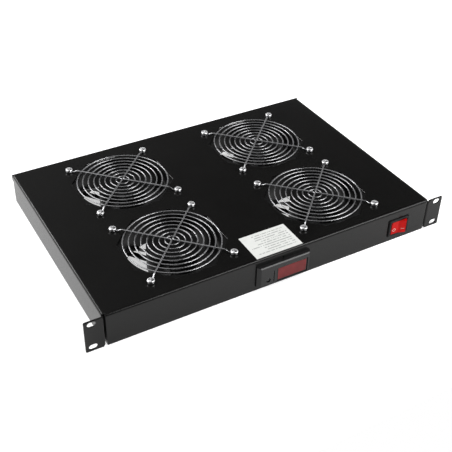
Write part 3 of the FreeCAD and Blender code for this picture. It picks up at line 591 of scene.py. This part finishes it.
def screw(bm, place, turned):
    """A screw with the foot of its head at a place, its cross turned by an angle in radians."""
    rings, first_ring = 14, 0.02
    segments = 48
    spin = Matrix.Rotation(turned, 3, "Z")
    rows = []
    for i in range(rings + 1):
        radius = screw_head_radius * max(i, first_ring) / rings
        row = []
        for j in range(segments):
            turn = 2 * math.pi * j / segments
            x, y = radius * math.cos(turn), radius * math.sin(turn)
            row.append(bm.verts.new(place + spin @ Vector((x, y, screw_top(x, y)))))
        rows.append(row)
    for inner, outer in zip(rows, rows[1:]):
        bridge(bm, inner, outer)
    bm.faces.new(rows[0])
    profile = [(screw_head_radius, screw_rim_height), (screw_foot_radius, 0)]
    profile += [(screw_shank_radius, 0), (screw_shank_radius, -screw_length)]
    profile += [(axis_radius, -screw_length), (axis_radius, screw_core_height)]
    revolve(bm, profile, place, segments)


def guard_screws():
    bm = bmesh.new()
    seat = plate_top + leg_wire
    for centre in FANS.values():
        for sx, sy in CORNERS:
            # No two crosses stop at the same turn
            turned = 0.6 * sx + 0.9 * sy + 7 * centre.x + 3 * centre.y
            place = Vector((centre.x + sx * hole_half, centre.y + sy * hole_half, seat))
            screw(bm, place, turned)
    mesh = to_mesh("guard_screw_set", bm)
    screws = new_object("guard_screw_set", mesh, "screw_chrome", "tray")
    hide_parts("guard_screws")


# Fans: frame and wheel
def flange_mesh():
    """A square flange with its bore and screw holes, its edges slightly broken."""
    curve = bpy.data.curves.new("flange", "CURVE")
    curve.dimensions = "2D"
    curve.fill_mode = "BOTH"
    curve.extrude = fan_flange / 2 - flange_edge
    curve.bevel_depth = flange_edge
    curve.offset = -flange_edge
    inset = fan_half - fan_corner_radius
    outline = []
    for sx, sy, start in ((1, 1, 0), (-1, 1, 90), (-1, -1, 180), (1, -1, 270)):
        outline += arc((sx * inset, sy * inset), fan_corner_radius, start, start + 90, steps=5)
    poly_spline(curve, [(x, y, 0) for x, y in outline], closed=True)
    circle_spline(curve, Vector((0, 0, 0)), fan_bore_radius)
    for sx, sy in CORNERS:
        circle_spline(curve, Vector((sx * hole_half, sy * hole_half, 0)), fan_hole_radius)
    holder = bpy.data.objects.new("flange", curve)
    mesh = bpy.data.meshes.new_from_object(holder)
    bpy.data.objects.remove(holder)
    return mesh


def fan_frame(place, centre, flange, strut):
    bm = bmesh.new()
    axis = Vector((centre.x, centre.y, 0))
    for z in (fan_bottom + fan_flange / 2, plate_under - fan_flange / 2):
        add_mesh(bm, flange, Matrix.Translation(axis + Vector((0, 0, z))))
    inner = fan_bore_radius
    outer = inner + barrel_wall
    low, high = fan_bottom + barrel_inset, plate_under - barrel_inset
    barrel = [(inner, low), (outer, low), (outer, high), (inner, high)]
    revolve(bm, barrel, axis, segments=96)
    base_top = fan_bottom + strut_height
    base = [(axis_radius, fan_bottom), (motor_base_radius - motor_base_edge, fan_bottom)]
    base += [(motor_base_radius, fan_bottom + motor_base_edge), (motor_base_radius, base_top)]
    revolve(bm, base + [(axis_radius, base_top)], axis, segments=64)
    tube_top = base_top + tube_height
    tube = [(tube_inner_radius, base_top), (tube_outer_radius, base_top)]
    tube += [(tube_outer_radius, tube_top), (tube_inner_radius, tube_top)]
    revolve(bm, tube, axis, segments=32)
    for i in range(strut_count):
        turn = math.radians(strut_phase + 360 / strut_count * i)
        add_mesh(bm, strut, Matrix.Translation(axis) @ Matrix.Rotation(turn, 4, "Z"))
    mesh = to_mesh("fan_casting_" + place, bm)
    piece = new_object("fan_casting_" + place, mesh, "fan_frame_black", "tray")
    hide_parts("fan_frame_" + place)


def blade_point(span, chordwise, side):
    """A point of a blade: outwards 0 to 1, chordwise -1 to 1, on its lower or upper face."""
    root = hub_radius - hub_wall / 2
    tip = fan_bore_radius - blade_tip_gap
    radius = root + span * (tip - root)
    chord = blade_root_chord + span * (blade_tip_chord - blade_root_chord)
    pitch = math.radians(blade_root_pitch + span * (blade_tip_pitch - blade_root_pitch))
    along = chordwise * chord / 2
    across = side * blade_thickness / 2 * (1 - blade_taper * chordwise**4)
    turn = (along * math.cos(pitch) - across * math.sin(pitch)) / radius
    lift = along * math.sin(pitch) + across * math.cos(pitch)
    z = plate_under - blade_middle_depth + lift
    return Vector((radius * math.cos(turn), radius * math.sin(turn), z))


def fan_wheel(place, centre):
    bm = bmesh.new()
    axis = Vector((centre.x, centre.y, 0))
    top, bottom = hub_high.z, hub_low.z
    inner = hub_radius - hub_wall
    profile = [(axis_radius, top)]
    corner = (hub_radius - hub_edge, top - hub_edge)
    profile += arc(corner, hub_edge, start=90, end=0, steps=5)
    profile += [(hub_radius, bottom), (inner, bottom)]
    profile += [(inner, top - hub_wall), (axis_radius, top - hub_wall)]
    revolve(bm, profile, axis, segments=96)
    spans, chords = 10, 14
    for i in range(blade_count):
        spin = Matrix.Rotation(math.radians(blade_phase + 360 * i / blade_count), 3, "Z")
        rows = []
        for s in range(spans + 1):
            lower = [blade_point(s / spans, 2 * c / chords - 1, -1) for c in range(chords + 1)]
            upper = [blade_point(s / spans, 1 - 2 * c / chords, 1) for c in range(chords + 1)]
            rows.append([bm.verts.new(axis + spin @ p) for p in lower + upper])
        for inner_row, outer_row in zip(rows, rows[1:]):
            bridge(bm, inner_row, outer_row)
        tip = rows[-1]
        for j in range(chords):
            bm.faces.new((tip[j], tip[j + 1], tip[-2 - j], tip[-1 - j]))
    mesh = to_mesh("fan_wheel_" + place, bm)
    wheel = new_object("fan_wheel_" + place, mesh, "impeller_black", "rotor_" + place)
    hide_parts("impeller_" + place)


# Leads: round wire along the runs of the model
def lead_path(stops):
    """Corner points joined by tangent bends."""
    bend_steps = 6
    stops = [Vector(stop) * mm for stop in stops]
    path = [stops[0]]
    for before, corner, after in zip(stops, stops[1:], stops[2:]):
        back = (before - corner).normalized() * lead_bend
        ahead = (after - corner).normalized() * lead_bend
        centre = corner + back + ahead
        for i in range(bend_steps + 1):
            turn = math.pi / 2 * i / bend_steps
            path.append(centre - ahead * math.cos(turn) - back * math.sin(turn))
    return path + [stops[-1]]


def leads(node, routes):
    curve = wire_curve(node + "_round", lead_radius, roundness=3)
    curve.use_fill_caps = True
    for route in routes:
        poly_spline(curve, lead_path(route))
    wire = new_object(node + "_round", curve, "lead_dark", "tray")
    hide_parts(node)


# Switch signs: a ring and a bar, printed on the rocker's two faces
def rocker_signs():
    joint = next(j for j in frame["joints"] if j["name"] == "rocker_tilt")
    pivot = Matrix.Translation(Vector(joint["pos_m"]))
    tilt = pivot @ Matrix.Rotation(math.radians(-rocker_rest), 4, "Z")
    slope = math.atan2(rocker_end_proud - rocker_middle_proud, rocker_radius)
    face_y = -rocker_pivot_depth - (rocker_middle_proud + rocker_end_proud) / 2
    bm = bmesh.new()
    for side in (-1, 1):
        start = len(bm.verts)
        if side < 0:
            ring = [(sign_ring_inner, 0), (sign_size, 0)]
            ring += [(sign_size, sign_depth), (sign_ring_inner, sign_depth)]
            revolve(bm, ring, Vector((0, 0, 0)), segments=32)
        else:
            for vert in bmesh.ops.create_cube(bm, size=1)["verts"]:
                x, y, z = vert.co
                vert.co = (x * 2 * sign_size, y * sign_bar_width, (z + 0.5) * sign_depth)
        bm.verts.ensure_lookup_table()
        place = Matrix.Translation((side * rocker_radius / 2, face_y, sign_drop))
        lean = Matrix.Rotation(-side * slope, 4, "Z") @ Matrix.Rotation(math.pi / 2, 4, "X")
        bmesh.ops.transform(bm, matrix=tilt @ place @ lean, verts=bm.verts[start:])
    new_object("rocker_signs", to_mesh("rocker_signs", bm), "nylon_white", "rocker")


flange = flange_mesh()
strut = block_mesh(
    (motor_base_radius - strut_lap, -strut_width / 2, fan_bottom),
    (fan_bore_radius + barrel_wall / 2, strut_width / 2, fan_bottom + strut_height),
    strut_edge,
)
for place, centre in FANS.items():
    finger_guard(place, centre)
    fan_frame(place, centre, flange, strut)
    fan_wheel(place, centre)
guard_screws()
for node, routes in LEADS.items():
    leads(node, routes)
rocker_signs()

# The other solids keep their shapes and take their slot's material
for part in frame["record"]["subparts"]:
    node = nodes[part["node"]]
    node.data.materials.clear()
    node.data.materials.append(MATERIALS[part["material_slot"]])
nodes["switch_housing"].data.materials[0] = switch_black


# Studio: a pale floor, soft boxes, a white backdrop, and the camera of the photograph
aim_point = (0, 0.15, 0)
sun_place, sun_power, sun_angle = (-0.3, 0.5, 2), 0.25, 36.0
# Place, width, height and power of each soft box
LAMPS = {
    "front": ((1.0, -1.15, 1.4), 1.4, 0.8, 32),
    "left": ((-1.4, 0.9, 1.4), 1.0, 1.0, 17),
    "left_back": ((-1.06, 1.67, 1.0), 0.6, 0.6, 14),
    "right": ((1.6, -0.8, 0.7), 1.8, 1.2, 12),
}


def floor():
    """A floor that ends just in front of the object, so that the front mirrors the dim room."""
    half, front = 6.0, -0.22
    fade_start, fade_end = 0.6, 1.6
    near_white = 0.6
    mesh = bpy.data.meshes.new("floor")
    corners = [(-half, front), (half, front), (half, half), (-half, half)]
    mesh.from_pydata([(x, y, floor_z) for x, y in corners], [], [(0, 1, 2, 3)])
    ground = bpy.data.objects.new("floor", mesh)
    bpy.context.scene.collection.objects.link(ground)
    paint = Paint("floor", (0.86, 0.86, 0.86), 0.9)
    paint.shade("Emission Color", (1, 1, 1, 1))
    paint.shade("Specular IOR Level", 0.0)
    # Away from the object, where the lamps fall off, the floor turns into the white of the backdrop
    distance = paint.add("ShaderNodeVectorMath", operation="LENGTH")
    paint.feed(distance.inputs[0], paint.place)
    fade = paint.map_range(distance.outputs["Value"], fade_start, fade_end, near_white, 1.0)
    lift = paint.math("MULTIPLY", fade, paint.seen_directly())
    paint.shade("Emission Strength", lift)
    mesh.materials.append(paint.material)


def aimed_lamp(lamp, place):
    holder = bpy.data.objects.new(lamp.name, lamp)
    holder.location = place
    holder.rotation_euler = (Vector(aim_point) - Vector(place)).to_track_quat("-Z", "Y").to_euler()
    holder.visible_camera = False
    bpy.context.scene.collection.objects.link(holder)


def lamps():
    ceiling = bpy.data.lights.new("ceiling", "SUN")
    ceiling.energy = sun_power
    ceiling.angle = math.radians(sun_angle)
    aimed_lamp(ceiling, sun_place)
    for name, (place, width, height, power) in LAMPS.items():
        lamp = bpy.data.lights.new(name, "AREA")
        lamp.shape = "RECTANGLE"
        lamp.size = width
        lamp.size_y = height
        lamp.energy = power
        aimed_lamp(lamp, place)


def surroundings():
    """A dim room with a white backdrop. Limits are parts of the unit vector of sight."""
    backdrop_top, backdrop_end = 0.3, 0.4
    backdrop_front, backdrop_full = -0.4, 0.1
    room_right, room_middle = 0.4, 0.1
    room_glow, least_glow = 0.32, 0.065
    world = bpy.data.worlds.new("studio")
    world.use_nodes = True
    sky = Nodes(world.node_tree)
    x, y, z = sky.split(sky.add("ShaderNodeTexCoord").outputs["Generated"])
    # The backdrop is white up to a height, and stands behind the object and beside it, not in front
    height = sky.map_range(z, backdrop_top, backdrop_end, 1.0, 0.0)
    behind = sky.map_range(y, backdrop_front, backdrop_full, 0.0, 1.0)
    backdrop = sky.math("MULTIPLY", height, behind)
    shown = sky.math("MULTIPLY", backdrop, sky.seen_directly())
    # The room's own glow comes from behind and from the left
    room = sky.map_range(x, room_right, room_middle, 0.0, room_glow)
    glow = sky.math("MULTIPLY_ADD", room, behind, least_glow)
    # The camera itself sees nothing but white
    path = sky.add("ShaderNodeLightPath")
    white = sky.math("MAXIMUM", path.outputs["Is Camera Ray"], shown)
    background = sky.tree.nodes["Background"]
    sky.feed(background.inputs["Color"], sky.mix(white, glow, (1, 1, 1, 1)))
    bpy.context.scene.world = world


def camera():
    """The photograph's viewpoint, with its principal point off the middle of the frame."""
    azimuth, elevation, roll = (math.radians(a) for a in (-29.18, 35.90, 0.60))
    distance = 1064.7 * mm
    target = Vector((-9.3, 150.0, -0.55)) * mm
    image = 452
    focal = 831.0
    principal_x, principal_y = 210.12, 203.27
    level = Vector((math.sin(azimuth), -math.cos(azimuth), 0))
    back = level * math.cos(elevation) + Vector((0, 0, math.sin(elevation)))
    right = (-back).cross(Vector((0, 0, 1))).normalized()
    up = right.cross(-back)
    tilted_right = right * math.cos(roll) + up * math.sin(roll)
    tilted_up = up * math.cos(roll) - right * math.sin(roll)
    data = bpy.data.cameras.new("camera")
    data.sensor_width = 36
    data.lens = focal * data.sensor_width / image
    data.shift_x = (image / 2 - principal_x) / image
    data.shift_y = (principal_y - image / 2) / image
    holder = bpy.data.objects.new("camera", data)
    turn = Matrix((tilted_right, tilted_up, back)).transposed().to_4x4()
    holder.matrix_world = Matrix.Translation(target + back * distance) @ turn
    bpy.context.scene.collection.objects.link(holder)
    bpy.context.scene.camera = holder


floor()
lamps()
surroundings()
bpy.context.scene.view_settings.view_transform = "Standard"
camera()
